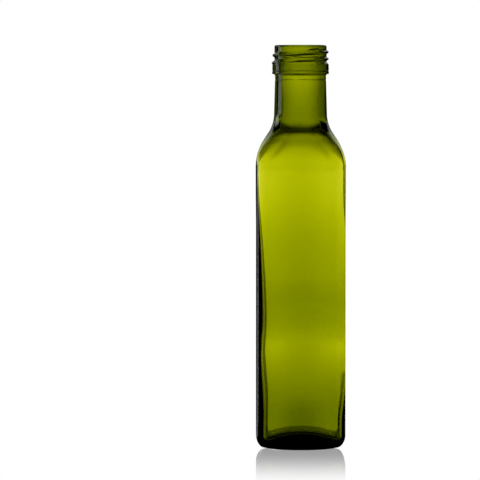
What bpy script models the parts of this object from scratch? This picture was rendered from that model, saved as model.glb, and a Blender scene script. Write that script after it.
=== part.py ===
"""Square glass oil bottle: one open piece of green glass with a screw finish.

The bottle stands on z = 0 with the middle of its base at the origin. Its flat faces look along
X and Y. The wall is one closed skin: it starts at the middle of the underside, climbs the outside,
turns over the rim and comes down the inside to the middle of the floor. Every ring of the skin is a
rounded square whose corners open up to a full circle on the way from the body to the neck. The screw
thread is a ridge swept along a helix and joined to the finish. All lengths are in metres.
"""
import math

import bmesh
import bpy

# Outside of the body
HEIGHT = 0.2140
SIDE = 0.0476
CORNER_SHARE = 0.32
PANEL_SINK = 0.00017
PANEL_TOP = 0.118
PANEL_END = 0.140

# Base and heel
RING_INNER_R = 0.0163
RING_OUTER_R = 0.0182
PUSH_UP = 0.0042
UNDERSIDE_SLOPE = 0.22
HEEL_WIDTH = 0.0038
HEEL_TOP = 0.0079

# Shoulder and neck
SHOULDER_CORNER_Z = 0.1572
SHOULDER_R = 0.027
NECK_CORNER_Z = 0.1720
NECK_CORNER_R = 0.01418
NECK_FILLET_R = 0.019
NECK_TOP_R = 0.01348
ROUNDING_START = 0.150
ROUNDING_END = 0.175

# Finish: collar, thread land and rim
COLLAR_BOTTOM_Z = 0.1986
COLLAR_BOTTOM_R = 0.01508
COLLAR_TOP_Z = 0.2038
COLLAR_TOP_R = 0.01492
COLLAR_CHAMFER = 0.0013
COLLAR_EDGE = 0.0003
COLLAR_FOOT_R = 0.0010
LAND_R = 0.01385
RIM_OUTER_EDGE_R = 0.00092
RIM_INNER_EDGE_R = 0.0015

# Thread ridge, right-handed and of one start
THREAD_PITCH = 0.00363
THREAD_HEIGHT = 0.00102
THREAD_HALF_BASE = 0.00125
THREAD_HALF_CREST = 0.00030
THREAD_ROOT_DEPTH = 0.00045
THREAD_Z_AT_X = 0.20667
THREAD_TURNS_BELOW = 0.67
THREAD_TURNS_ABOVE = 1.27
THREAD_FADE = math.radians(50)

# Inside, narrowest at the foot of the neck
BORE_R = 0.0105
BORE_NECK_R = 0.01115
INNER_WAIST_Z = 0.1844
INNER_WAIST_R = 0.01031
INNER_WAIST_FILLET_R = 0.43
INNER_NECK_Z = 0.1725
INNER_NECK_R = 0.0100
INNER_NECK_FILLET_R = 0.01175
INNER_SHOULDER_Z = 0.1567
INNER_SHOULDER_R = 0.0226
INNER_ROUNDING_START = 0.146
INNER_ROUNDING_END = 0.171
FLOOR_TOP = 0.0104
FLOOR_BEND = 9.0
FLOOR_FILLET_R = 0.0034

# Wall thickness at heights up the body, thin under the shoulder and thick above the heel
WALL_STATIONS = (
    (0.0160, 0.0042),
    (0.0400, 0.0030),
    (0.0530, 0.0026),
    (0.0740, 0.0031),
    (0.1100, 0.0024),
    (0.1540, 0.0019),
)

# How finely the skin is cut
FACE_STEPS = 4
CORNER_STEPS = 10
QUARTER_STEPS = FACE_STEPS + CORNER_STEPS
RING_STEPS = 4 * QUARTER_STEPS
HEEL_STEPS = 5
SHOULDER_STEPS = 8
FILLET_STEPS = 5
WAIST_STEPS = 2
FOOT_STEPS = 3
RIM_STEPS = 4
BODY_HEIGHTS = (0.030, 0.053, 0.074, 0.095, PANEL_TOP, 0.129, PANEL_END)
INNER_HEIGHTS = (0.0160, 0.0250, 0.0400, 0.0530, 0.0635, 0.0740, 0.0920, 0.1100, 0.1300)

GLASS_COLOUR = (0.290, 0.330, 0.012, 1.0)
GLASS_ROUGHNESS = 0.02
GLASS_IOR = 1.52


def smooth(value, start, end):
    """Ease from 0 at start to 1 at end with level ends."""
    share = min(max((value - start) / (end - start), 0.0), 1.0)
    return share * share * (3.0 - 2.0 * share)


def outer_half(z):
    """Half the width across the flat faces of the body at height z."""
    return 0.5 * SIDE - PANEL_SINK * (1.0 - smooth(z, PANEL_TOP, PANEL_END))


def wall(z):
    """Thickness of the wall at height z, eased from one station to the next."""
    for (low, thick_low), (high, thick_high) in zip(WALL_STATIONS, WALL_STATIONS[1:]):
        if z <= high:
            return thick_low + (thick_high - thick_low) * smooth(z, low, high)
    return WALL_STATIONS[-1][1]


def outer_roundness(z):
    """Corner radius over half width: square below the shoulder, a full circle at the neck."""
    return CORNER_SHARE + (1.0 - CORNER_SHARE) * smooth(z, ROUNDING_START, ROUNDING_END)


def inner_roundness(z):
    """The same for the inside, which keeps the outer corners' centres and turns round a little lower."""
    half = outer_half(z)
    square = (CORNER_SHARE * half - wall(z)) / (half - wall(z))
    return square + (1.0 - square) * smooth(z, INNER_ROUNDING_START, INNER_ROUNDING_END)


def level(z):
    """A ring that lies at one height."""
    return lambda x, y: z


def underside(x, y):
    """The base rises in a shallow cone from the bearing ring to the corners."""
    return UNDERSIDE_SLOPE * max(math.hypot(x, y) - RING_OUTER_R, 0.0)


def heel_height(turn):
    """Height along the heel, from the underside at turn 0 up to the side wall at a quarter turn."""
    return lambda x, y: underside(x, y) * math.cos(turn) + HEEL_TOP * (1.0 - math.cos(turn))


def floor(x, y):
    """The floor inside is domed: it falls with the square of the distance from the middle."""
    return FLOOR_TOP - FLOOR_BEND * (x * x + y * y)


def floor_fillet_height(turn):
    """Height along the fillet that carries the floor up into the wall."""
    return lambda x, y: floor(x, y) + FLOOR_FILLET_R * (1.0 - math.cos(turn))


def fillet(before, corner, after, radius, steps):
    """Points of the arc that rounds a corner of a path, from its first tangent to its last."""
    into = math.atan2(corner[1] - before[1], corner[0] - before[0])
    out = math.atan2(after[1] - corner[1], after[0] - corner[0])
    bend = math.remainder(out - into, 2.0 * math.pi)
    reach = radius * math.tan(abs(bend) / 2.0)
    side = math.copysign(1.0, bend)
    start = (corner[0] - reach * math.cos(into), corner[1] - reach * math.sin(into))
    centre = (start[0] - side * radius * math.sin(into), start[1] + side * radius * math.cos(into))
    points = []
    for step in range(steps + 1):
        angle = into + bend * step / steps
        x = centre[0] + side * radius * math.sin(angle)
        z = centre[1] - side * radius * math.cos(angle)
        points.append((x, z))
    return points


def section_point(step, half, roundness):
    """Point of a rounded square: flats between corner arcs, or a circle where roundness is 1."""
    quarter, place = divmod(step, QUARTER_STEPS)
    half_face = FACE_STEPS // 2
    along = min(place / half_face, 1.0)
    across = min((QUARTER_STEPS - place) / half_face, 1.0)
    square_turn = min(max(place - half_face, 0), CORNER_STEPS) / CORNER_STEPS
    round_turn = place / QUARTER_STEPS
    swing = min(max((roundness - CORNER_SHARE) / (1.0 - CORNER_SHARE), 0.0), 1.0)
    turn = 0.5 * math.pi * (square_turn + (round_turn - square_turn) * swing)
    corner = half * roundness
    flat = half - corner
    x = flat * across + corner * math.cos(turn)
    y = flat * along + corner * math.sin(turn)
    spin = 0.5 * math.pi * quarter
    return x * math.cos(spin) - y * math.sin(spin), x * math.sin(spin) + y * math.cos(spin)


def outside_rings():
    """Rings from the inner edge of the push-up to the top of the rim, as (half, roundness, height)."""
    rings = []
    for share in (0.35, 0.70, 0.90):
        rings.append((RING_INNER_R * share, 1.0, level(PUSH_UP * (1.0 - share ** 2))))
    rings.append((RING_INNER_R, 1.0, level(0.0)))
    rings.append((RING_OUTER_R, 1.0, level(0.0)))
    for step in range(HEEL_STEPS + 1):
        turn = 0.5 * math.pi * step / HEEL_STEPS
        half = outer_half(0.0) - HEEL_WIDTH * (1.0 - math.sin(turn))
        rings.append((half, CORNER_SHARE, heel_height(turn)))
    for z in BODY_HEIGHTS:
        rings.append((outer_half(z), CORNER_SHARE, level(z)))
    body = (0.5 * SIDE, PANEL_END)
    shoulder = (0.5 * SIDE, SHOULDER_CORNER_Z)
    root = (NECK_CORNER_R, NECK_CORNER_Z)
    neck = (NECK_TOP_R, COLLAR_BOTTOM_Z)
    path = fillet(body, shoulder, root, SHOULDER_R, SHOULDER_STEPS)
    path += fillet(shoulder, root, neck, NECK_FILLET_R, FILLET_STEPS)
    path += fillet(root, neck, (COLLAR_BOTTOM_R, COLLAR_BOTTOM_Z), COLLAR_FOOT_R, FOOT_STEPS)
    path.append((COLLAR_BOTTOM_R - COLLAR_EDGE, COLLAR_BOTTOM_Z))
    path.append((COLLAR_BOTTOM_R, COLLAR_BOTTOM_Z + COLLAR_EDGE))
    path.append((COLLAR_TOP_R, COLLAR_TOP_Z))
    path.append((LAND_R, COLLAR_TOP_Z + COLLAR_CHAMFER))
    for half, z in path:
        rings.append((half, outer_roundness(z), level(z)))
    return rings


def rim_rings():
    """Rings over the rim, from the thread land to the bore, with both edges rounded."""
    below = (LAND_R, COLLAR_TOP_Z)
    outer_edge = (LAND_R, HEIGHT)
    inner_edge = (BORE_R, HEIGHT)
    bore = (BORE_R, COLLAR_TOP_Z)
    path = fillet(below, outer_edge, inner_edge, RIM_OUTER_EDGE_R, RIM_STEPS)
    path += fillet(outer_edge, inner_edge, bore, RIM_INNER_EDGE_R, RIM_STEPS)
    return [(half, 1.0, level(z)) for half, z in path]


def inside_rings():
    """Rings from the bore down to the floor of the bottle."""
    top = (BORE_NECK_R, COLLAR_BOTTOM_Z)
    waist = (INNER_WAIST_R, INNER_WAIST_Z)
    neck = (INNER_NECK_R, INNER_NECK_Z)
    shoulder = (0.5 * SIDE - WALL_STATIONS[-1][1], INNER_SHOULDER_Z)
    body = (shoulder[0], INNER_HEIGHTS[-1])
    path = [top]
    path += fillet(top, waist, neck, INNER_WAIST_FILLET_R, WAIST_STEPS)
    path += fillet(waist, neck, shoulder, INNER_NECK_FILLET_R, FILLET_STEPS)
    path += fillet(neck, shoulder, body, INNER_SHOULDER_R, SHOULDER_STEPS)
    rings = [(half, inner_roundness(z), level(z)) for half, z in path]
    for z in reversed(INNER_HEIGHTS):
        rings.append((outer_half(z) - wall(z), inner_roundness(z), level(z)))
    floor_half = outer_half(0.0) - wall(0.0)
    floor_round = inner_roundness(0.0)
    for step in range(FILLET_STEPS - 1, -1, -1):
        turn = 0.5 * math.pi * step / FILLET_STEPS
        half = floor_half - FLOOR_FILLET_R * (1.0 - math.sin(turn))
        rings.append((half, floor_round, floor_fillet_height(turn)))
    for share in (0.75, 0.5, 0.25):
        roundness = 1.0 - (1.0 - floor_round) * smooth(share, 0.25, 1.0)
        rings.append(((floor_half - FLOOR_FILLET_R) * share, roundness, floor))
    return rings


def add_ring(mesh, half, roundness, height):
    """Add one ring of vertices to the mesh."""
    vertices = []
    for step in range(RING_STEPS):
        x, y = section_point(step, half, roundness)
        vertices.append(mesh.verts.new((x, y, height(x, y))))
    return vertices


def skin(mesh, first, second):
    """Close the band between two rings with four-sided faces."""
    count = len(first)
    for step in range(count):
        after = (step + 1) % count
        mesh.faces.new((first[step], first[after], second[after], second[step]))


def cap(mesh, ring, z):
    """Close a ring with a fan of triangles to a vertex on the axis."""
    middle = mesh.verts.new((0.0, 0.0, z))
    for step, vertex in enumerate(ring):
        mesh.faces.new((vertex, ring[(step + 1) % len(ring)], middle))


def make_object(name, mesh):
    """Turn a closed skin into an object with its faces pointing out."""
    bmesh.ops.recalc_face_normals(mesh, faces=mesh.faces)
    data = bpy.data.meshes.new(name)
    mesh.to_mesh(data)
    mesh.free()
    thing = bpy.data.objects.new(name, data)
    bpy.context.scene.collection.objects.link(thing)
    return thing


def make_shell():
    """The whole wall of the bottle, without its thread."""
    mesh = bmesh.new()
    rings = [add_ring(mesh, *ring) for ring in outside_rings() + rim_rings() + inside_rings()]
    for first, second in zip(rings, rings[1:]):
        skin(mesh, first, second)
    cap(mesh, rings[0], PUSH_UP)
    cap(mesh, rings[-1], FLOOR_TOP)
    return make_object("bottle", mesh)


def thread_section(mesh, angle, to_end):
    """One cross-section of the thread ridge, which sinks into the wall towards its nearer end."""
    size = smooth(to_end, 0.0, THREAD_FADE)
    crest = LAND_R - THREAD_ROOT_DEPTH / 2.0 + (THREAD_HEIGHT + THREAD_ROOT_DEPTH / 2.0) * size
    foot = LAND_R - THREAD_ROOT_DEPTH
    flank = crest - 0.45 * (crest - foot)
    half_flank = 0.5 * (THREAD_HALF_BASE + THREAD_HALF_CREST)
    middle = THREAD_Z_AT_X + THREAD_PITCH * angle / (2.0 * math.pi)
    outline = (
        (foot, -THREAD_HALF_BASE),
        (flank, -half_flank),
        (crest, -THREAD_HALF_CREST),
        (crest, THREAD_HALF_CREST),
        (flank, half_flank),
        (foot, THREAD_HALF_BASE),
    )
    vertices = []
    for radius, rise in outline:
        vertices.append(mesh.verts.new((radius * math.cos(angle), radius * math.sin(angle), middle + rise)))
    return vertices


def make_thread():
    """The thread ridge, swept along its helix with its feet inside the wall."""
    mesh = bmesh.new()
    turn = 2.0 * math.pi / RING_STEPS
    first_step = -round(THREAD_TURNS_BELOW * RING_STEPS)
    last_step = round(THREAD_TURNS_ABOVE * RING_STEPS)
    sections = []
    for step in range(first_step, last_step + 1):
        to_end = min(step - first_step, last_step - step) * turn
        sections.append(thread_section(mesh, (step + 0.5) * turn, to_end))
    for first, second in zip(sections, sections[1:]):
        skin(mesh, first, second)
    mesh.faces.new(sections[0])
    mesh.faces.new(sections[-1])
    ridge = make_object("thread_ridge", mesh)
    ridge.hide_render = True
    ridge.display_type = 'WIRE'
    return ridge


def make_glass():
    """Clear green glass."""
    glass = bpy.data.materials.new("green_glass")
    glass.use_nodes = True
    shader = glass.node_tree.nodes["Principled BSDF"]
    shader.inputs["Base Color"].default_value = GLASS_COLOUR
    shader.inputs["Roughness"].default_value = GLASS_ROUGHNESS
    shader.inputs["Metallic"].default_value = 0.0
    shader.inputs["IOR"].default_value = GLASS_IOR
    shader.inputs["Transmission Weight"].default_value = 1.0
    glass.diffuse_color = GLASS_COLOUR
    return glass


def main():
    """Clear the scene and build the bottle."""
    for thing in list(bpy.data.objects):
        bpy.data.objects.remove(thing, do_unlink=True)
    bottle = make_shell()
    bottle.data.materials.append(make_glass())
    join = bottle.modifiers.new("join_thread", 'BOOLEAN')
    join.operation = 'UNION'
    join.solver = 'EXACT'
    join.object = make_thread()
    bottle.data.shade_smooth()
    bottle.data.set_sharp_from_angle(angle=math.radians(35))


main()
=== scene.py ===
"""Looks of the square glass oil bottle: its green glass, drawn finely, and a bright studio for it.

The bottle is one closed skin of glass, outside and inside, worked out as surfaces on grids. It
stands for the solid of the same name, keeps its form and adds what the solid leaves out: the finely
rounded thread, the ridges under the base, the mould's seams and a wall that is uneven as blown
glass is. All lengths are in metres, with the middle of the base at the origin and +Z up.
"""

import math

import bpy
import numpy as np
from bpy.props import FloatProperty, FloatVectorProperty, PointerProperty
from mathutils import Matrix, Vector


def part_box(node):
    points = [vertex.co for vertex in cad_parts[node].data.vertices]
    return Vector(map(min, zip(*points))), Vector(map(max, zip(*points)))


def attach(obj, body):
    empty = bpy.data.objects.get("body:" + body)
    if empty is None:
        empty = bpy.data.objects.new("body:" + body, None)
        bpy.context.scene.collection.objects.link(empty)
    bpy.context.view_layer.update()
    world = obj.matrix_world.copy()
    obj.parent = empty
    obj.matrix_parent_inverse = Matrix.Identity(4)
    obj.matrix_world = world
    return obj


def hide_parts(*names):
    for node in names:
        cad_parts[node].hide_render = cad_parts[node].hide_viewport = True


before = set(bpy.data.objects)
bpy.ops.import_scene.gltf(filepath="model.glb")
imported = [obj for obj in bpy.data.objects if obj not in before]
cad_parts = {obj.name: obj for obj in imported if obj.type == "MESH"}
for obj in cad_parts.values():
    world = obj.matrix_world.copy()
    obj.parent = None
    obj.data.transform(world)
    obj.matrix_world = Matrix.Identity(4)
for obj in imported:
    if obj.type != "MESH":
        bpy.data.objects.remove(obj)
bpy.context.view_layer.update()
BOTTLE_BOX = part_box("bottle")

bl_info = {
    "name": "Square glass bottle",
    "version": (1, 0, 0),
    "blender": (4, 5, 0),
    "location": "3D View > Sidebar > Bottle",
    "description": "Builds a square bottle of green glass and a bright studio round it",
    "category": "Object",
}

HEIGHT = BOTTLE_BOX[1].z
SIDE = BOTTLE_BOX[1].x - BOTTLE_BOX[0].x

# Outside of the body
CORNER_SHARE = 0.32  # a corner's radius over half the width
PANEL_SINK = 0.00017  # how deep the label panels are sunk
PANEL_TOP = 0.118  # where they start to rise to the full width
PANEL_END = 0.140  # and where they reach it

# Base: the bearing ring, the dome inside it, the shallow cone round it and the heel
RING_INNER_R = 0.0163
RING_OUTER_R = 0.0182
PUSH_UP = 0.0042
PUSH_UP_POWER = 1.4
PUSH_UP_REACH = 0.985  # share of the ring's inner radius at the dome's last row
UNDERSIDE_SLOPE = 0.22
HEEL_WIDTH = 0.0038
HEEL_TOP = 0.0079

# Ridges across the outer edge of the bearing ring. A fade starts and ends so far before an edge.
RIDGE_PITCH = 0.00158
RIDGE_DEPTH = 0.00022
RIDGE_REACH = 0.0165  # from the middle of each side
RIDGE_FADE_AT_RING = (0.0007, 0.0001)
RIDGE_FADE_AT_HEEL = (0.0009, 0.0002)
RIDGE_FADE_AT_CORNER = 0.003

# Shoulder and neck: corners of the outline before rounding, and the radii that round them
SHOULDER_CORNER_Z = 0.1572
SHOULDER_R = 0.027
NECK_CORNER_Z = 0.1720
NECK_CORNER_R = 0.01418
NECK_FILLET_R = 0.019
NECK_TOP_R = 0.01348
ROUNDING_START = 0.150  # the square turns round between these heights
ROUNDING_END = 0.175

# Finish: collar, thread and rim
COLLAR_BOTTOM_Z = 0.1986
COLLAR_BOTTOM_R = 0.01508
COLLAR_TOP_Z = 0.2038
COLLAR_TOP_R = 0.01492
COLLAR_CHAMFER = 0.0013
COLLAR_EDGE = 0.0003
COLLAR_FOOT_R = 0.0010
LAND_R = 0.01385
RIM_OUTER_EDGE_R = 0.00092
RIM_INNER_EDGE_R = 0.0015
THREAD_PITCH = 0.00363
THREAD_HEIGHT = 0.00102
THREAD_HALF_BASE = 0.00118
THREAD_HALF_CREST = 0.00026
THREAD_Z_AT_X = 0.20667  # where the middle of the ridge crosses the XZ plane at +X
THREAD_TURNS_BELOW = 0.67
THREAD_TURNS_ABOVE = 1.27
THREAD_FADE = math.radians(50)

# Inside: corners of the path before rounding, the radii that round them, and the domed floor
BORE_R = 0.0105
BORE_NECK_R = 0.01115
INNER_WAIST_Z = 0.1844
INNER_WAIST_R = 0.01031
INNER_WAIST_FILLET_R = 0.43
INNER_NECK_Z = 0.1725
INNER_NECK_R = 0.0100
INNER_NECK_FILLET_R = 0.01175
INNER_SHOULDER_Z = 0.1567
INNER_SHOULDER_R = 0.0226
SHOULDER_LIFT = 0.0010  # the hollow's corners follow the outer ones this much higher up
LIFT_START = 0.146
LIFT_END = 0.160
INNER_BODY_TOP = 0.1300
INNER_BODY_BOTTOM = 0.0160
FLOOR_TOP = 0.0104
FLOOR_BEND = 9.0  # how fast the dome falls, with the square of the radius
FLOOR_FILLET_R = 0.0034
FLOOR_ROUND_SHARE = 0.25  # share of the floor's width inside which its rows are circles
FLOOR_ARC_ROUNDNESS = 0.5  # roundness from which the soft corners turn back to arcs

# Thickness of the wall at heights up the body
WALL_STATIONS = (
    (0.0125, 0.00430),
    (0.0170, 0.00420),
    (0.0210, 0.00415),
    (0.0250, 0.00390),
    (0.0320, 0.00350),
    (0.0380, 0.00305),
    (0.0445, 0.00257),
    (0.0510, 0.00213),
    (0.0570, 0.00230),
    (0.0610, 0.00265),
    (0.0660, 0.00300),
    (0.0740, 0.00317),
    (0.0890, 0.00278),
    (0.1100, 0.00233),
    (0.1210, 0.00196),
    (0.1320, 0.00156),
    (0.1420, 0.00138),
    (0.1567, 0.00150),
)
# How much thicker the wall is in the middle of each face
SWELL_STATIONS = (
    (0.0150, 0.00105),
    (0.0190, 0.00080),
    (0.0240, 0.00042),
    (0.0320, 0.00014),
    (0.0400, 0.00032),
    (0.0520, 0.00058),
    (0.0620, 0.00030),
    (0.0800, 0.00034),
    (0.1100, 0.00036),
    (0.1400, 0.00042),
    (0.1540, 0.00030),
    (0.1680, 0.00000),
)
SWELL_WIDTH = 0.75  # where a face's swell ends, in half widths from the face's middle
# How far the hollow lies off the axis, towards +X, and how much more so on that side
LEAN_STATIONS = (
    (0.0100, 0.00050),
    (0.0200, 0.00080),
    (0.0300, 0.00110),
    (0.0400, 0.00115),
    (0.0530, 0.00125),
    (0.0740, 0.00135),
    (0.0980, 0.00115),
    (0.1100, 0.00090),
    (0.1200, 0.00060),
    (0.1300, 0.00025),
    (0.1400, 0.00005),
    (0.1500, 0.00000),
)
LEAN_SKEW = 0.45
# How much thinner the walls at the +X and -X sides are
SIDE_STATIONS = (
    (0.0900, 0.00000),
    (0.1200, 0.00050),
    (0.1450, 0.00080),
    (0.1570, 0.00095),
    (0.1680, 0.00050),
    (0.1750, 0.00000),
)
# How much further out the centres of the hollow's corners lie than those of the outer corners
CORNER_STATIONS = (
    (0.0200, 0.0007),
    (0.1500, 0.0007),
    (0.1620, 0.0002),
    (0.1700, 0.0000),
)
# The corners of the hollow leave the flats softly up to the first of these heights
SOFT_END = 0.150
SOFT_FADED = 0.170
SOFT_GROWTH = 0.42
SOFT_POWER_DROP = 0.3333
# How much narrower, as a share, the hollow is from front to back on its +X side
TAPER_STATIONS = (
    (0.0100, 0.02),
    (0.0250, 0.10),
    (0.1250, 0.12),
    (0.1450, 0.06),
    (0.1600, 0.00),
)
TAPER_START = 0.72  # in half widths from the axis
TAPER_FULL = 1.2
# How much thicker the neck is at its sides than at its front and back
NECK_OVAL_STATIONS = (
    (0.1740, 0.00000),
    (0.1840, 0.00050),
    (0.1960, 0.00060),
    (0.2080, 0.00060),
    (0.2125, 0.00000),
)

# Mould seams, fine grooves: one round the neck in two patches, one round the collar with dashes
SEAM_Z = 0.1955
SEAM_DEPTH = 0.00030
COLLAR_SEAM_Z = 0.2003
COLLAR_SEAM_DEPTH = 0.00042
SEAM_HALF_WIDTH = 0.00034
# Where a patch has its middle, and the cosines of the turn from there at which it starts and is full
SEAM_PATCHES = (
    (math.radians(-48.0), 0.55, 0.9),
    (0.5 - math.pi, 0.60, 0.9),
)
# Waves round the collar that make the dashes, and how much shallower the groove is between them
DASH_LONG_WAVES = 17.0
DASH_LONG_START = 0.7
DASH_SWELL_WAVES = 11.0
DASH_FINE_WAVES = 41.0
DASH_FINE_SHARE = 0.4
DASH_EDGE = 0.3
DASH_SHARE = 0.4

# How finely the skin is cut: columns of points round it, and rows or steps along each stretch
COLUMNS = 160
FINE_COLUMNS = 4 * COLUMNS
FACE_PART = 0.40  # share of the columns that lies on the flats
CAP_SHARE = 0.06  # share of the width that the middle fan of a dome covers
SEAM_ROWS_SPAN = 1.2  # how far a seam's rows reach, in its half widths
CUTS = {
    "push_up": 16,
    "ring": 6,
    "cone": 10,
    "heel": 15,
    "panel": 46,
    "shoulder": 36,
    "neck_foot": 30,
    "neck": 26,
    "seam": 13,
    "collar_foot": 9,
    "collar_under": 3,
    "collar_edge": 6,
    "collar": 10,
    "chamfer": 5,
    "land_foot": 5,
    "land": 62,
    "rim_outer": 10,
    "rim": 4,
    "rim_inner": 8,
    "bore": 12,
    "upper_neck": 6,
    "waist": 14,
    "lower_neck": 4,
    "inner_neck": 40,
    "inner_slope": 6,
    "inner_shoulder": 40,
    "wall": 80,
    "foot": 18,
    "floor": 18,
}

# Shared by the looks
WHITE = (1.0, 1.0, 1.0, 1.0)
DEGREES = 180.0 / math.pi

# Skin of the glass: broad ripples, fine grain, and a faint haze where the ripples are high
RIPPLE_SCALE = 60.0
GRAIN_SCALE = 900.0
GRAIN_SHARE = 0.1
NOISE_DETAIL = 2.0
BUMP_HEIGHT = 0.00004
HAZE_MORE = 0.02
HAZE_RIPPLE = (0.45, 0.8)

# Angles of the light are in degrees: swing from straight behind (+Y) round to the left (-X), and
# climb from level. Two angles are where an edge starts and ends, four are a band's rise and fall.

# Four panels round the bottle, as the glass shows them
PANEL_STEP = 90.0
PANEL_NEAR_EDGE = (4.0, 18.0)
PANEL_NEAR_DIM = 0.12
PANEL_FAR_EDGE = (30.0, 45.0)
PANEL_FAR_DIM = 0.32
PANEL_TOP_EDGE = (0.0, 12.5)
PANEL_TOP_RISE = 0.5

# The dimmer room that shows where the glass has mirrored the way inside, and its dark gap
ROOM_LIGHT = 0.42
ROOM_RIGHT_LIGHT = 0.2
ROOM_RIGHT_EDGE = (-14.0, -2.0)
ROOM_HIGH_LIGHT = 0.58
ROOM_HIGH_EDGE = (4.0, 12.0)
ROOM_TOP_EDGE = (18.0, 34.0)
GAP_SWING = (2.0, 12.0, 43.0, 52.0)

# The strip light at the left and the soft panel at the back, which the outside of the glass mirrors
STRIP_LIGHT = 1.5
STRIP_SWING = (46.0, 49.0, 70.0, 74.0)
STRIP_TOP_EDGE = (21.0, 29.0)
STRIP_DIM = 0.8
STRIP_DIM_CLIMB = (-3.9, -2.3, -1.6, -0.3)
STRIP_SLIDE = 14.0
STRIP_SLIDE_CLIMB = (-1.4, -0.2, 1.5, 4.0)
BACK_LIGHT = 0.6
BACK_SWING_EDGE = (30.0, 44.0)
BACK_CLIMB = (5.0, 10.0, 30.0, 45.0)
TINT_EDGE = (-1.6, -0.6)
TINT_BELOW = (0.95, 0.93, 1.0, 1.0)
TINT_ABOVE = (0.88, 1.0, 0.86, 1.0)

# Floor, by distances from the bottle's axis
FLOOR_HALF = 1.2
FLOOR_DROP = 0.0003
# Painted shadow under the bottle: the glowing floor is nearly dark near the axis and lit further out
FLOOR_DARK = 0.05
FLOOR_LIGHT = 0.90
FLOOR_LIGHT_EDGE = (0.024, 0.05)
# Painted shade on the floor where the glass has mirrored the way inside, deeper in the gap at the left
FLOOR_BOUNCED_DIM = 0.45
FLOOR_GAP_DIM = 0.55
# Painted strip light on the floor at the left, where the outside of the glass mirrors it
FLOOR_STRIP_LIGHT = 0.8
FLOOR_MIRROR = 1.05
FLOOR_MIRROR_EDGE = (0.02, 0.22)
FLOOR_MIRROR_IOR = 1.6

# Picture
PICTURE_WIDTH = 480.0
NEAREST_SEEN = 0.01
FURTHEST_SEEN = 20.0


class BottleGlass(bpy.types.PropertyGroup):
    """The glass of the bottle."""

    absorption: FloatProperty(
        name="Absorption",
        description="How strongly a metre of the glass takes up the colours it absorbs",
        default=2100.0,
        min=0.0,
    )
    colour: FloatVectorProperty(
        name="Colour",
        description="The colour that a long way through the glass tends to",
        subtype="COLOR",
        default=(0.8973, 0.9095, 0.0238, 1.0),
        size=4,
        min=0.0,
        max=1.0,
    )
    ior: FloatProperty(
        name="Refractive index",
        description="Refractive index of bottle glass",
        default=1.52,
        min=1.0,
    )
    haze: FloatProperty(
        name="Haze",
        description="Roughness of the skin where it is smoothest",
        default=0.012,
        min=0.0,
        max=1.0,
    )
    ripple: FloatProperty(
        name="Ripple",
        description="How strongly the skin ripples",
        default=0.12,
        min=0.0,
        max=1.0,
    )


class BottleStudio(bpy.types.PropertyGroup):
    """The studio's camera."""

    camera_distance: FloatProperty(
        name="Camera distance",
        description="Level distance from the bottle's axis to the camera",
        default=2.2,
        unit="LENGTH",
    )
    camera_height: FloatProperty(
        name="Camera height",
        description="Height of the camera above the floor",
        default=0.190,
        unit="LENGTH",
    )
    camera_azimuth: FloatProperty(
        name="Camera azimuth",
        description="How far the camera stands round the bottle from the middle of its front",
        default=math.radians(-0.6),
        subtype="ANGLE",
    )
    aim_height: FloatProperty(
        name="Aim height",
        description="Height on the bottle's axis that comes halfway down the picture",
        default=0.11048,
        unit="LENGTH",
    )
    focal_length: FloatProperty(
        name="Focal length in pixels",
        description="Focal length of the camera, in pixels of a picture 480 pixels wide",
        default=4142.7,
    )
    axis_pixel: FloatProperty(
        name="Axis in the picture",
        description="Column of a picture 480 pixels wide in which the bottle's axis lies",
        default=300.45,
    )


class Signal:
    """One output socket. Arithmetic written with it adds Math nodes to its node tree."""

    def __init__(self, board, socket):
        self.board = board
        self.socket = socket

    def other(self, name):
        """Another output of the same node."""
        return Signal(self.board, self.socket.node.outputs[name])

    def maths(self, operation, *values):
        """The result of one Math node."""
        return self.board.node("ShaderNodeMath", {"operation": operation}, dict(enumerate(values)))

    def __add__(self, more):
        return self.maths("ADD", self, more)

    __radd__ = __add__

    def __sub__(self, less):
        return self.maths("SUBTRACT", self, less)

    def __rsub__(self, whole):
        return self.maths("SUBTRACT", whole, self)

    def __mul__(self, times):
        return self.maths("MULTIPLY", self, times)

    __rmul__ = __mul__

    def __abs__(self):
        return self.maths("ABSOLUTE", self)

    def __neg__(self):
        return self.maths("MULTIPLY", self, -1.0)

    def above(self, limit):
        """1 where the number is over the limit, otherwise 0."""
        return self.maths("GREATER_THAN", self, limit)

    def fold(self, step):
        """The number wrapped into one step, from 0 up to the step."""
        return self.maths("FLOORED_MODULO", self, step)

    def ease(self, start, end):
        """0 before start, 1 after end, and a smooth rise between."""
        settings = {"interpolation_type": "SMOOTHSTEP"}
        sockets = {"Value": self, "From Min": start, "From Max": end}
        return self.board.node("ShaderNodeMapRange", settings, sockets)

    def band(self, start, full, fading, gone):
        """1 between full and fading, 0 before start and after gone, and smooth between."""
        return self.ease(start, full) * (1.0 - self.ease(fading, gone))


class Board:
    """A node tree, emptied, that takes every node through one method."""

    def __init__(self, tree):
        self.tree = tree
        tree.nodes.clear()

    def node(self, kind, settings=None, sockets=None, output=0):
        """Adds a node of a type with its settings and the values or links of its sockets."""
        made = self.tree.nodes.new(kind)
        for name, value in (settings or {}).items():
            setattr(made, name, value)
        for name, value in (sockets or {}).items():
            if isinstance(value, Signal):
                self.tree.links.new(value.socket, made.inputs[name])
            else:
                made.inputs[name].default_value = value
        return Signal(self, made.outputs[output]) if made.outputs else None

    def mix(self, share, first, second):
        """A colour between two, by the share of the second. The colour sockets are numbers 6 and 7."""
        sockets = {"Factor": share, 6: first, 7: second}
        return self.node("ShaderNodeMix", {"data_type": 'RGBA'}, sockets, output=2)


def ease(value, start, end):
    """0 before start, 1 after end, and t * t * (3 - 2 t) between, for whole arrays."""
    share = np.clip((value - start) / (end - start), 0.0, 1.0)
    return share * share * (3.0 - 2.0 * share)


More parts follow.
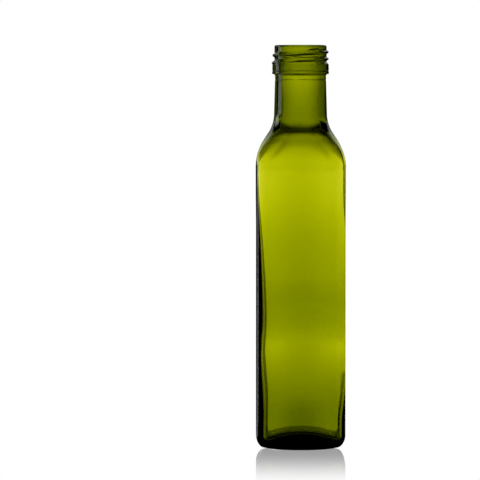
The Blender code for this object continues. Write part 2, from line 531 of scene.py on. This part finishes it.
def through(value, stations):
    """A smooth curve through the stations: cubic pieces that share a mean slope at each station."""
    place, height = np.array(stations).T
    slope = np.gradient(height, place)
    value = np.clip(value, place[0], place[-1])
    low = np.clip(np.searchsorted(place, value) - 1, 0, len(place) - 2)
    width = place[low + 1] - place[low]
    t = (value - place[low]) / width
    rise = height[low + 1] - height[low]
    start_bend = slope[low] * width - rise
    end_bend = -slope[low + 1] * width + rise
    straight = height[low] + rise * t
    return straight + t * (1.0 - t) * (start_bend * (1.0 - t) + end_bend * t)


def outer_half(z):
    """Half the width across the flat faces at height z: full, but sunk a little at the label panel."""
    return 0.5 * SIDE - PANEL_SINK * (1.0 - ease(z, PANEL_TOP, PANEL_END))


def outer_roundness(z):
    """Corner radius over half width: square in the body, a full circle from the neck up."""
    return CORNER_SHARE + (1.0 - CORNER_SHARE) * ease(z, ROUNDING_START, ROUNDING_END)


def arc(before, corner, after, radius, steps):
    """Points of the arc that rounds a corner of a path, from its first tangent to its last."""
    before, corner, after = (np.array(point) for point in (before, corner, after))
    into = math.atan2(*(corner - before)[::-1])
    out = math.atan2(*(after - corner)[::-1])
    bend = math.remainder(out - into, 2.0 * math.pi)
    side = math.copysign(1.0, bend)
    reach = radius * math.tan(abs(bend) / 2.0)
    start = corner - reach * np.array((math.cos(into), math.sin(into)))
    centre = start + side * radius * np.array((-math.sin(into), math.cos(into)))
    angle = into + bend * np.linspace(0.0, 1.0, steps + 1)
    return centre + side * radius * np.stack((np.sin(angle), -np.cos(angle)), axis=1)


def line(start, end, steps):
    """Points of a straight run, without its two ends."""
    share = np.linspace(0.0, 1.0, steps + 1)[1:-1, None]
    return np.array(start) * (1.0 - share) + np.array(end) * share


def section(half, roundness, columns, power=1.0):
    """Rounded squares, one row each: flats between quarter arcs of radius half * roundness.

    A square row shares its columns between flats and arcs, and a round row spreads them evenly. The
    corner curve is the cosine and the sine of the turn, each raised to the power: an arc at 1, and
    under 1 a curve that leaves the flats softly.
    """
    step = np.arange(columns) / columns * 4.0
    quarter = np.floor(step)
    place = step - quarter
    half_face = FACE_PART / 2.0
    square_turn = np.clip((place - half_face) / (1.0 - FACE_PART), 0.0, 1.0)
    evenly = np.clip((roundness - CORNER_SHARE) / (1.0 - CORNER_SHARE), 0.0, 1.0)[:, None]
    turn = 0.5 * np.pi * (square_turn + (place - square_turn) * evenly)
    corner = (half * roundness)[:, None]
    flat = half[:, None] - corner
    x = flat * np.minimum((1.0 - place) / half_face, 1.0) + corner * np.abs(np.cos(turn)) ** power
    y = flat * np.minimum(place / half_face, 1.0) + corner * np.sin(turn) ** power
    spin = 0.5 * np.pi * quarter
    return x * np.cos(spin) - y * np.sin(spin), x * np.sin(spin) + y * np.cos(spin)


def stack(x, y, z):
    """Rows of points from three arrays."""
    return np.stack(np.broadcast_arrays(x, y, z), axis=-1)


def push_up_rows():
    """The dome under the base, landing softly on the ring.

    Its height is PUSH_UP * (1 - share^2)^PUSH_UP_POWER, with the share of the ring's inner radius.
    """
    share = np.linspace(CAP_SHARE, PUSH_UP_REACH, CUTS["push_up"])
    x, y = section(RING_INNER_R * share, np.ones_like(share), COLUMNS)
    z = PUSH_UP * (1.0 - share ** 2) ** PUSH_UP_POWER
    return stack(x, y, z[:, None])


def cone_height(x, y):
    """Height of the shallow cone that rises outwards from the bearing ring."""
    return UNDERSIDE_SLOPE * np.maximum(np.hypot(x, y) - RING_OUTER_R, 0.0)


def underside_rows():
    """From the bearing ring out to the heel: a flat ring, then a shallow cone that turns square.

    Fine ridges, square to each side, cut the ring's outer edge: a cosine wave along the side,
    faded out towards the ring's flat, the heel and the four corners.
    """
    end = outer_half(0.0) - HEEL_WIDTH
    ring = np.linspace(RING_INNER_R, RING_OUTER_R, CUTS["ring"])
    cone = np.linspace(RING_OUTER_R, end, CUTS["cone"])[1:-1]
    half = np.concatenate((ring, cone))
    outwards = np.clip((half - RING_OUTER_R) / (end - RING_OUTER_R), 0.0, 1.0)
    x, y = section(half, 1.0 - (1.0 - CORNER_SHARE) * outwards, FINE_COLUMNS)
    along = np.where(np.abs(y) > np.abs(x), x, y)
    wave = 0.5 - 0.5 * np.cos(2.0 * np.pi * along / RIDGE_PITCH)
    ring_start, ring_full = RIDGE_FADE_AT_RING
    heel_start, heel_gone = RIDGE_FADE_AT_HEEL
    window = ease(np.hypot(x, y), RING_OUTER_R - ring_start, RING_OUTER_R - ring_full)
    window = window * (1.0 - ease(half[:, None], end - heel_start, end - heel_gone))
    window = window * (1.0 - ease(np.abs(along), RIDGE_REACH - RIDGE_FADE_AT_CORNER, RIDGE_REACH))
    return stack(x, y, cone_height(x, y) + RIDGE_DEPTH * wave * window)


def heel_rows():
    """A quarter round from the underside up to the side: cone * cos t + HEEL_TOP * (1 - cos t)."""
    turn = 0.5 * np.pi * np.linspace(0.0, 1.0, CUTS["heel"])
    half = outer_half(0.0) - HEEL_WIDTH * (1.0 - np.sin(turn))
    x, y = section(half, np.full_like(half, CORNER_SHARE), COLUMNS)
    level = np.cos(turn)[:, None]
    return stack(x, y, cone_height(x, y) * level + HEEL_TOP * (1.0 - level))


def outside_profile():
    """Half width and height from the top of the heel to the thread land, as rows of pairs."""
    panel_z = np.linspace(HEEL_TOP, PANEL_END, CUTS["panel"])[1:-1]
    panel = np.stack((outer_half(panel_z), panel_z), axis=1)
    body = (0.5 * SIDE, PANEL_END)
    shoulder = (0.5 * SIDE, SHOULDER_CORNER_Z)
    root = (NECK_CORNER_R, NECK_CORNER_Z)
    neck = (NECK_TOP_R, COLLAR_BOTTOM_Z)
    under = (COLLAR_BOTTOM_R, COLLAR_BOTTOM_Z)
    top = (COLLAR_TOP_R, COLLAR_TOP_Z)
    land = (LAND_R, COLLAR_TOP_Z + COLLAR_CHAMFER)
    rim = (LAND_R, HEIGHT)
    shoulder_arc = arc(body, shoulder, root, SHOULDER_R, CUTS["shoulder"])
    root_arc = arc(shoulder, root, neck, NECK_FILLET_R, CUTS["neck_foot"])
    collar_foot = arc(root, neck, under, COLLAR_FOOT_R, CUTS["collar_foot"])
    lower_edge = arc(neck, under, top, COLLAR_EDGE, CUTS["collar_edge"])
    upper_edge = arc(under, top, land, COLLAR_EDGE, CUTS["collar_edge"])
    land_foot = arc(top, land, rim, COLLAR_EDGE, CUTS["land_foot"])
    return np.concatenate((
        panel, shoulder_arc, root_arc,
        seamed_line(root_arc[-1], collar_foot[0], CUTS["neck"], SEAM_Z), collar_foot,
        line(collar_foot[-1], lower_edge[0], CUTS["collar_under"]), lower_edge,
        seamed_line(lower_edge[-1], upper_edge[0], CUTS["collar"], COLLAR_SEAM_Z), upper_edge,
        line(upper_edge[-1], land_foot[0], CUTS["chamfer"]), land_foot,
    ))


def seamed_line(start, end, steps, level):
    """A straight run without its ends, with more points close to the level of a seam."""
    close = level + SEAM_HALF_WIDTH * np.linspace(-SEAM_ROWS_SPAN, SEAM_ROWS_SPAN, CUTS["seam"])
    z = np.unique(np.concatenate((np.linspace(start[1], end[1], steps + 1)[1:-1], close)))
    return np.stack((np.interp(z, (start[1], end[1]), (start[0], end[0])), z), axis=1)


def seam_groove(x, y, z):
    """Depth of the two seams: soft grooves at their levels, deeper and shallower round the bottle.

    The groove round the collar is deeper in dashes, where the product of two waves round the bottle
    plus a third, finer one is high.
    """
    turn = np.arctan2(y, x)
    patches = sum(ease(np.cos(turn - middle), start, full) for middle, start, full in SEAM_PATCHES)
    waves = np.sin(DASH_LONG_WAVES * turn + DASH_LONG_START) * np.sin(DASH_SWELL_WAVES * turn)
    waves = waves + DASH_FINE_SHARE * np.sin(DASH_FINE_WAVES * turn)
    dashes = 1.0 - DASH_SHARE * (1.0 - ease(waves, -DASH_EDGE, DASH_EDGE))
    neck = 1.0 - ease(np.abs(z - SEAM_Z), 0.0, SEAM_HALF_WIDTH)
    collar = 1.0 - ease(np.abs(z - COLLAR_SEAM_Z), 0.0, SEAM_HALF_WIDTH)
    return SEAM_DEPTH * patches * neck + COLLAR_SEAM_DEPTH * dashes * collar


def thread_lift(x, y, z):
    """How far the thread stands out of the land: a rounded ridge along a right-handed helix.

    The helix climbs THREAD_PITCH a turn. Its turn nearest to a point gives the distance across the
    ridge, and the ridge is a smooth step down from its crest, eased in and out at both ends.
    """
    turn = np.arctan2(y, x) / (2.0 * np.pi)
    climbed = (z - THREAD_Z_AT_X) / THREAD_PITCH
    turns = turn + np.round(climbed - turn)
    across = np.abs(climbed - turns) * THREAD_PITCH
    ridge = 1.0 - ease(across, THREAD_HALF_CREST, THREAD_HALF_BASE)
    fade = THREAD_FADE / (2.0 * np.pi)
    begun = ease(turns, -THREAD_TURNS_BELOW, fade - THREAD_TURNS_BELOW)
    ended = 1.0 - ease(turns, THREAD_TURNS_ABOVE - fade, THREAD_TURNS_ABOVE)
    return THREAD_HEIGHT * ridge * begun * ended


def push_out(x, y, z, lift):
    """Rows of points moved away from the axis by the lift."""
    grow = 1.0 + lift / np.hypot(x, y)
    return stack(x * grow, y * grow, z)


def outside_rows():
    """The outside from the heel to the rim, with the thread and the seams standing out of it."""
    profile = outside_profile()
    land_z = np.linspace(profile[-1][1], HEIGHT - RIM_OUTER_EDGE_R, CUTS["land"])[1:-1]
    land = np.stack((np.full_like(land_z, LAND_R), land_z), axis=1)
    half, z = np.concatenate((profile, land)).T
    x, y = section(half, outer_roundness(z), COLUMNS)
    z = z[:, None]
    lift = thread_lift(x, y, z) * (z > COLLAR_TOP_Z)
    return push_out(x, y, z, lift - seam_groove(x, y, z))


def rim_rows():
    """Over the rim, from the land to the bore, with both edges rounded and the thread running out."""
    below = (LAND_R, COLLAR_TOP_Z)
    outer_edge = (LAND_R, HEIGHT)
    inner_edge = (BORE_R, HEIGHT)
    bore = (BORE_R, COLLAR_TOP_Z)
    outer = arc(below, outer_edge, inner_edge, RIM_OUTER_EDGE_R, CUTS["rim_outer"])
    inner = arc(outer_edge, inner_edge, bore, RIM_INNER_EDGE_R, CUTS["rim_inner"])
    half, z = np.concatenate((outer, line(outer[-1], inner[0], CUTS["rim"]), inner)).T
    x, y = section(half, np.ones_like(half), COLUMNS)
    outwards = ease(half, 0.5 * (BORE_R + LAND_R), LAND_R)[:, None]
    return push_out(x, y, z[:, None], thread_lift(x, y, z[:, None]) * outwards)


def inner_half(z):
    """Half the width inside the body: the outside less the wall."""
    return outer_half(z) - through(z, WALL_STATIONS)


def inner_roundness(half, z):
    """Corner radius over half width inside, where the corners nearly keep the outer ones' centres.

    On the slope of the shoulder those centres are the ones a little higher up.
    """
    outer, height = outside_profile().T
    level = z + SHOULDER_LIFT * ease(z, LIFT_START, LIFT_END)
    centre = np.interp(level, height, outer) * (1.0 - outer_roundness(level))
    return 1.0 - (centre + through(z, CORNER_STATIONS)) / half


def soften(roundness, z):
    """Corners inside the body leave the flats softly: a larger corner and the power of its curve."""
    soft = 1.0 - ease(z, SOFT_END, SOFT_FADED)
    return roundness * (1.0 + SOFT_GROWTH * soft), (1.0 - SOFT_POWER_DROP * soft)[:, None]


def face_swell(x, y, half, z):
    """How much thicker the wall is, along x and along y: a squared cosine across each face."""
    along = np.minimum(np.abs(x), np.abs(y)) / half
    hump = np.cos(0.5 * np.pi * np.clip(along / SWELL_WIDTH, 0.0, 1.0)) ** 2
    swell = through(z, SWELL_STATIONS) * hump
    sideways = np.abs(x) > np.abs(y)
    return np.sign(x) * swell * sideways, np.sign(y) * swell * ~sideways


def lean(x, half, z):
    """How far the hollow lies towards +X. It grows in proportion from its -X to its +X side."""
    return through(z, LEAN_STATIONS) * (1.0 + LEAN_SKEW * x / half)


def narrowing(x, half, z):
    """How much narrower the hollow is from front to back: a smooth rise towards its +X side."""
    return through(z, TAPER_STATIONS) * ease(x / half, TAPER_START, TAPER_FULL)


def inside_rows():
    """From the bore down to the foot: the path of the inner wall, uneven as blown glass is.

    Each face is thicker in its middle, and the hollow of the body lies a little off the axis,
    narrows on its +X side and is wider towards both sides near the shoulder. The neck is thicker
    at its sides, by the squared cosine of the turn from the X axis.
    """
    bore = (BORE_R, HEIGHT - RIM_INNER_EDGE_R)
    top = (BORE_NECK_R, COLLAR_BOTTOM_Z)
    waist = (INNER_WAIST_R, INNER_WAIST_Z)
    neck = (INNER_NECK_R, INNER_NECK_Z)
    shoulder = (inner_half(INNER_SHOULDER_Z), INNER_SHOULDER_Z)
    body = (inner_half(INNER_BODY_TOP), INNER_BODY_TOP)
    waist_arc = arc(top, waist, neck, INNER_WAIST_FILLET_R, CUTS["waist"])
    neck_arc = arc(waist, neck, shoulder, INNER_NECK_FILLET_R, CUTS["inner_neck"])
    shoulder_arc = arc(neck, shoulder, body, INNER_SHOULDER_R, CUTS["inner_shoulder"])
    body_z = np.linspace(shoulder_arc[-1][1], INNER_BODY_BOTTOM, CUTS["wall"])[1:]
    wall = np.stack((inner_half(body_z), body_z), axis=1)
    half, z = np.concatenate((
        line(bore, top, CUTS["bore"]), [top],
        line(top, waist_arc[0], CUTS["upper_neck"]), waist_arc,
        line(waist_arc[-1], neck_arc[0], CUTS["lower_neck"]), neck_arc,
        line(neck_arc[-1], shoulder_arc[0], CUTS["inner_slope"]), shoulder_arc,
        wall,
    )).T
    roundness, power = soften(inner_roundness(half, z), z)
    x, y = section(half, roundness, COLUMNS, power)
    half, z = half[:, None], z[:, None]
    swell_x, swell_y = face_swell(x, y, half, z)
    oval = x * x / (x * x + y * y)
    shrink = 1.0 - through(z, NECK_OVAL_STATIONS) * oval / half
    widen = through(z, SIDE_STATIONS) / half
    leaning_x = x * (shrink + widen) - swell_x + lean(x, half, z)
    tapered_y = y * shrink * (1.0 - narrowing(x, half, z)) - swell_y
    return stack(leaning_x, tapered_y, z)


def floor_rows():
    """The foot of the inner wall, a quarter round, and the domed floor FLOOR_TOP - FLOOR_BEND r^2.

    What makes the wall above uneven goes on here and fades towards the middle of the floor.
    """
    bottom = INNER_BODY_BOTTOM
    foot_half = inner_half(bottom)
    corner = inner_roundness(foot_half, bottom)
    turn = 0.5 * np.pi * np.linspace(1.0, 0.0, CUTS["foot"])[1:]
    foot = foot_half - FLOOR_FILLET_R * (1.0 - np.sin(turn))
    share = np.linspace(1.0, CAP_SHARE, CUTS["floor"])[1:]
    half = np.concatenate((foot, foot[-1] * share))
    rise = np.concatenate((FLOOR_FILLET_R * (1.0 - np.cos(turn)), np.zeros_like(share)))
    dome_round = 1.0 - (1.0 - corner) * ease(share, FLOOR_ROUND_SHARE, 1.0)
    roundness = np.concatenate((np.full_like(foot, corner), dome_round))
    roundness, power = soften(roundness, np.full_like(roundness, bottom))
    roundness = np.minimum(roundness, 1.0)
    power = 1.0 - (1.0 - power) * (1.0 - ease(roundness, FLOOR_ARC_ROUNDNESS, 1.0)[:, None])
    x, y = section(half, roundness, COLUMNS, power)
    fade = (half / foot_half)[:, None]
    half = half[:, None]
    swell_x, swell_y = face_swell(x, y, half, bottom)
    x = x - swell_x * fade
    y = y * (1.0 - narrowing(x, half, bottom) * fade) - swell_y * fade
    z = FLOOR_TOP - FLOOR_BEND * (x * x + y * y) + rise[:, None]
    return stack(x + lean(x, half, bottom) * fade, y, z)


def band_faces(first, rows, columns):
    """Four-sided faces between neighbouring rows of points numbered from first, closed round."""
    row = np.arange(rows - 1)[:, None] * columns + first
    column = np.arange(columns)[None, :]
    after = (column + 1) % columns
    return np.stack((row + column, row + after, row + columns + after, row + columns + column),
                    axis=-1).reshape(-1, 4)


def fan_faces(fine, coarse, columns, outward):
    """Triangles between a ring with 4 * columns points and a ring with columns points.

    Coarse point j faces fine points 4 j - 2 to 4 j + 2, and one triangle bridges each gap.
    """
    step = np.arange(4 * columns)
    after = (step + 1) % (4 * columns)
    facing = (step + 2) // 4 % columns
    first = np.stack((fine + step, fine + after, coarse + facing), axis=1)
    gap = np.arange(columns)
    second = np.stack((coarse + gap, fine + 4 * gap + 2, coarse + (gap + 1) % columns), axis=1)
    faces = np.concatenate((first, second))
    return faces if outward else faces[:, ::-1]


def cap_faces(ring, middle, columns, outward):
    """A fan of triangles that closes a ring to one point."""
    step = np.arange(columns)
    faces = np.stack((ring + step, ring + (step + 1) % columns, np.full(columns, middle)), axis=1)
    return faces[:, ::-1] if outward else faces


def bottle_mesh():
    """The closed skin: underside, outside, rim, inside and floor, joined row to row."""
    dome, ring, heel = push_up_rows(), underside_rows(), heel_rows()
    rest = np.concatenate((heel, outside_rows(), rim_rows(), inside_rows(), floor_rows()))
    points = np.concatenate([part.reshape(-1, 3) for part in (dome, ring, rest)])
    ring_start = dome.shape[0] * COLUMNS
    rest_start = ring_start + ring.shape[0] * FINE_COLUMNS
    under, over = len(points), len(points) + 1
    points = np.concatenate((points, [(0.0, 0.0, PUSH_UP), (0.0, 0.0, FLOOR_TOP)]))
    last_ring = rest_start - FINE_COLUMNS
    quads = [
        band_faces(0, dome.shape[0], COLUMNS),
        band_faces(ring_start, ring.shape[0], FINE_COLUMNS),
        band_faces(rest_start, rest.shape[0], COLUMNS),
    ]
    triangles = [
        cap_faces(0, under, COLUMNS, True),
        fan_faces(ring_start, ring_start - COLUMNS, COLUMNS, False),
        fan_faces(last_ring, rest_start, COLUMNS, True),
        cap_faces(under - COLUMNS, over, COLUMNS, False),
    ]
    faces = np.concatenate(quads).tolist() + np.concatenate(triangles).tolist()
    data = bpy.data.meshes.new("square_bottle")
    data.from_pydata(points.tolist(), [], faces)
    data.validate()
    data.shade_smooth()
    return data


def green_glass(settings):
    """Clear glass that takes up blue strongly and red and green a little, with a faintly uneven skin."""
    material = bpy.data.materials.new("green_glass")
    material.use_nodes = True
    board = Board(material.node_tree)
    place = board.node("ShaderNodeTexCoord", output="Object")
    noise = {"Vector": place, "Detail": NOISE_DETAIL}
    ripple = board.node("ShaderNodeTexNoise", {}, noise | {"Scale": RIPPLE_SCALE})
    grain = board.node("ShaderNodeTexNoise", {}, noise | {"Scale": GRAIN_SCALE})
    bump = board.node("ShaderNodeBump", {}, {
        "Height": ripple + GRAIN_SHARE * grain,
        "Strength": settings.ripple,
        "Distance": BUMP_HEIGHT,
    })
    glass = board.node("ShaderNodeBsdfPrincipled", {}, {
        "Base Color": WHITE,
        "Roughness": settings.haze + HAZE_MORE * ripple.ease(*HAZE_RIPPLE),
        "IOR": settings.ior,
        "Transmission Weight": 1.0,
        "Normal": bump,
    })
    inside = board.node("ShaderNodeVolumeAbsorption", {}, {
        "Color": tuple(settings.colour),
        "Density": settings.absorption,
    })
    board.node("ShaderNodeOutputMaterial", {}, {"Surface": glass, "Volume": inside})
    return material


def swing_round(x, y):
    """The angle round the bottle in degrees, from straight behind it (+Y) to the left (-X)."""
    return x.maths("ARCTAN2", -x, y) * DEGREES


def light_through_glass(swing, climb, bounced):
    """What shows through the glass: four soft panels that fade upwards.

    Where the glass has mirrored the way inside, it is a dimmer room with a dark gap at the left.
    """
    off_panel = abs((swing + 0.5 * PANEL_STEP).fold(PANEL_STEP) - 0.5 * PANEL_STEP)
    near = PANEL_NEAR_DIM * off_panel.ease(*PANEL_NEAR_EDGE)
    far = PANEL_FAR_DIM * off_panel.ease(*PANEL_FAR_EDGE)
    level = 1.0 - (climb - PANEL_TOP_RISE * off_panel).ease(*PANEL_TOP_EDGE)
    panels = (1.0 - near - far) * level
    high = climb.ease(*ROOM_HIGH_EDGE)
    right = (1.0 - high) * (1.0 - swing.ease(*ROOM_RIGHT_EDGE))
    room = ROOM_LIGHT + ROOM_RIGHT_LIGHT * right + ROOM_HIGH_LIGHT * high
    room = room * (1.0 - climb.ease(*ROOM_TOP_EDGE)) * (1.0 - swing.band(*GAP_SWING) * (1.0 - high))
    return panels + bounced * (room - panels)


def light_on_glass(swing, climb):
    """What the outside of the glass mirrors: one strip light at the left and a soft panel behind.

    The strip is dimmer just under level, and slides round to the left just above it.
    """
    slid = swing - STRIP_SLIDE * climb.band(*STRIP_SLIDE_CLIMB)
    strip = slid.band(*STRIP_SWING) * (1.0 - climb.ease(*STRIP_TOP_EDGE))
    behind = (1.0 - abs(swing).ease(*BACK_SWING_EDGE)) * climb.band(*BACK_CLIMB)
    return (STRIP_LIGHT - STRIP_DIM * climb.band(*STRIP_DIM_CLIMB)) * strip + BACK_LIGHT * behind


def light_studio(scene):
    """A white room: plain white where the camera sees it directly, panels and gaps in the glass."""
    world = bpy.data.worlds.new("white_studio")
    world.use_nodes = True
    world.cycles.sampling_method = 'NONE'
    scene.world = world
    board = Board(world.node_tree)
    way = board.node("ShaderNodeTexCoord", output="Generated")
    x = board.node("ShaderNodeSeparateXYZ", {}, {"Vector": way})
    z = x.other("Z")
    climb = z.maths("ARCSINE", z) * DEGREES
    swing = swing_round(x, x.other("Y"))
    direct = board.node("ShaderNodeLightPath", output="Is Camera Ray")
    mirrored = direct.other("Is Reflection Ray")
    sharp = direct.other("Is Singular Ray")
    bounced = direct.other("Glossy Depth").above(0.5)
    clear = direct + (1.0 - direct) * light_through_glass(swing, climb, bounced)
    glossy = sharp + (1.0 - sharp) * light_on_glass(swing, climb)
    strength = mirrored * glossy + (1.0 - mirrored) * clear
    tint = board.mix(climb.ease(*TINT_EDGE), TINT_BELOW, TINT_ABOVE)
    tint = board.mix(mirrored * (1.0 - sharp), WHITE, tint)
    light = board.node("ShaderNodeBackground", {}, {"Color": tint, "Strength": strength})
    board.node("ShaderNodeOutputWorld", {}, {"Surface": light})


def glowing_floor_with_painted_shade():
    """White floor that lights the picture itself and mirrors the bottle, less so further out.

    Under the bottle, where only the glass shows it, it is nearly dark: a painted shadow. Seen
    through the glass it also has painted shade where the way inside was mirrored, and a painted
    strip light at the left where the outside of the glass mirrors it. It mirrors as glossy board
    does: strongly at a flat angle, weakly from above.
    """
    material = bpy.data.materials.new("white_floor")
    material.use_nodes = True
    material.cycles.emission_sampling = 'NONE'
    board = Board(material.node_tree)
    place = board.node("ShaderNodeTexCoord", output="Object")
    radius = board.node("ShaderNodeVectorMath", {"operation": "LENGTH"}, {0: place}, output="Value")
    x = board.node("ShaderNodeSeparateXYZ", {}, {"Vector": place})
    swing = swing_round(x, x.other("Y"))
    direct = board.node("ShaderNodeLightPath", output="Is Camera Ray")
    mirrored = direct.other("Is Reflection Ray")
    bounced = direct.other("Glossy Depth").above(0.5)
    # painted shadow: the glow is nearly dark under the bottle and lit further out
    lit = FLOOR_DARK + FLOOR_LIGHT * radius.ease(*FLOOR_LIGHT_EDGE)
    # painted shade for rays that the glass has mirrored inside, darker in the gap at the left
    lit = lit * (1.0 - bounced * (FLOOR_BOUNCED_DIM + FLOOR_GAP_DIM * swing.band(*GAP_SWING)))
    # painted strip light at the left, for rays mirrored off the glass
    on_glass = FLOOR_STRIP_LIGHT * swing.band(*STRIP_SWING)
    brightness = direct + (1.0 - direct) * (lit + mirrored * (on_glass - lit))
    white = board.node("ShaderNodeEmission", {}, {"Color": WHITE, "Strength": brightness})
    mirror = board.node("ShaderNodeBsdfAnisotropic", {}, {"Color": WHITE, "Roughness": 0.0})
    grazing = board.node("ShaderNodeFresnel", {}, {"IOR": FLOOR_MIRROR_IOR})
    share = FLOOR_MIRROR * grazing * (1.0 - radius.ease(*FLOOR_MIRROR_EDGE)) * direct
    both = board.node("ShaderNodeMixShader", {}, {0: share, 1: white, 2: mirror})
    board.node("ShaderNodeOutputMaterial", {}, {"Surface": both})
    return material


def floor_plane():
    """A flat square of floor. It lies a little under the base, so that the two don't coincide."""
    half = FLOOR_HALF
    corners = [(-half, -half, 0.0), (half, -half, 0.0), (half, half, 0.0), (-half, half, 0.0)]
    data = bpy.data.meshes.new("floor")
    data.from_pydata(corners, [], [(0, 1, 2, 3)])
    data.materials.append(glowing_floor_with_painted_shade())
    ground = bpy.data.objects.new("floor", data)
    ground.location.z = -FLOOR_DROP
    return ground


def point_camera(scene, settings):
    """Places the camera so that the bottle's axis lies in its column of the picture."""
    camera = bpy.data.objects.new("camera", bpy.data.cameras.new("camera"))
    scene.collection.objects.link(camera)
    azimuth = settings.camera_azimuth
    away = settings.camera_distance
    camera.location = (away * math.sin(azimuth), -away * math.cos(azimuth), settings.camera_height)
    to_axis = Vector((0.0, 0.0, settings.aim_height)) - camera.location
    off_axis = (settings.axis_pixel - PICTURE_WIDTH / 2.0) / settings.focal_length
    sideways = to_axis.cross(Vector((0.0, 0.0, 1.0))).normalized()
    look = to_axis - sideways * off_axis * to_axis.length
    camera.rotation_euler = look.to_track_quat("-Z", "Y").to_euler()
    camera.data.lens = camera.data.sensor_width * settings.focal_length / PICTURE_WIDTH
    camera.data.clip_start = NEAREST_SEEN
    camera.data.clip_end = FURTHEST_SEEN
    scene.camera = camera


class BOTTLE_OT_square_bottle(bpy.types.Operator):
    """Build the bottle as one closed skin of green glass"""

    bl_idname = "bottle.square_bottle"
    bl_label = "Build the bottle"

    def execute(self, context):
        bottle = bpy.data.objects.new("square_bottle", bottle_mesh())
        context.scene.collection.objects.link(bottle)
        bottle.data.materials.append(green_glass(context.scene.bottle_glass))
        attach(bottle, "root")
        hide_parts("bottle")
        return {'FINISHED'}


class BOTTLE_OT_studio(bpy.types.Operator):
    """Set up the floor, the light and the camera"""

    bl_idname = "bottle.studio"
    bl_label = "Set up the studio"

    def execute(self, context):
        scene = context.scene
        ground = floor_plane()
        scene.collection.objects.link(ground)
        light_studio(scene)
        point_camera(scene, scene.bottle_studio)
        scene.view_settings.view_transform = 'Standard'
        return {'FINISHED'}


class BOTTLE_PT_panel(bpy.types.Panel):
    """Lists the values of the glass and the camera, and the steps that build the scene"""

    bl_label = "Square glass bottle"
    bl_space_type = 'VIEW_3D'
    bl_region_type = 'UI'
    bl_category = "Bottle"

    def draw(self, context):
        layout = self.layout
        for group in (context.scene.bottle_glass, context.scene.bottle_studio):
            for name in group.__annotations__:
                layout.prop(group, name)
        layout.operator(BOTTLE_OT_square_bottle.bl_idname)
        layout.operator(BOTTLE_OT_studio.bl_idname)


CLASSES = (BottleGlass, BottleStudio, BOTTLE_OT_square_bottle, BOTTLE_OT_studio, BOTTLE_PT_panel)


def register():
    for kind in CLASSES:
        bpy.utils.register_class(kind)
    bpy.types.Scene.bottle_glass = PointerProperty(type=BottleGlass)
    bpy.types.Scene.bottle_studio = PointerProperty(type=BottleStudio)


def unregister():
    del bpy.types.Scene.bottle_studio
    del bpy.types.Scene.bottle_glass
    for kind in reversed(CLASSES):
        bpy.utils.unregister_class(kind)


def main():
    """Builds the bottle and its studio."""
    register()
    bpy.ops.bottle.square_bottle()
    bpy.ops.bottle.studio()


if __name__ == "__main__":
    main()
